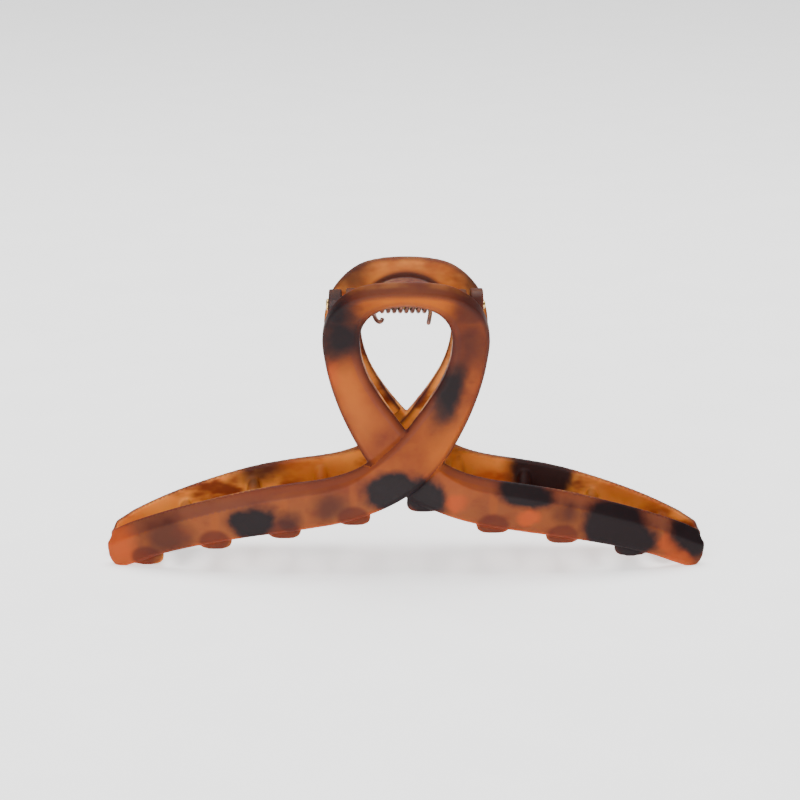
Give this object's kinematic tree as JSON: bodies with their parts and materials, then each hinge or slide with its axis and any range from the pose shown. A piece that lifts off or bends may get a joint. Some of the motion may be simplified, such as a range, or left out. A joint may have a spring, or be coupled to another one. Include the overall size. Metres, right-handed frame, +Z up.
{
  "type": "claw clip",
  "caption": "Spring-closed hair claw: crossed-ribbon jaws with open loop handles and long toothed arms, on a headed hinge pin.",
  "frame": {"origin": "centre of the footprint, on the surface that the four arm tips stand on", "axes": "+X along the arms, +Y from the front jaw to the back jaw, +Z up towards the handles"},
  "size_m": [0.1252, 0.0334, 0.062],
  "materials": {
    "jaw_plastic": "frosted translucent amber with dark tortoiseshell patches",
    "pin_brass": "polished",
    "spring_wire": "dark bronze coated wire"
  },
  "bodies": {
    "front_half": {"front_jaw": "jaw_plastic", "hinge_pin": "pin_brass", "torsion_spring": "spring_wire"},
    "back_half": {"back_jaw": "jaw_plastic", "spring_back_leg": "spring_wire"}
  },
  "joints": [
    {"name": "jaw_hinge", "type": "hinge", "parent": "front_half", "child": "back_half", "pos_m": [0, 0, 0.0544], "axis": [1, 0, 0], "range_deg": [0, 75], "stiffness_Nm_per_rad": 0.05, "springref_deg": -34.38}
  ]
}
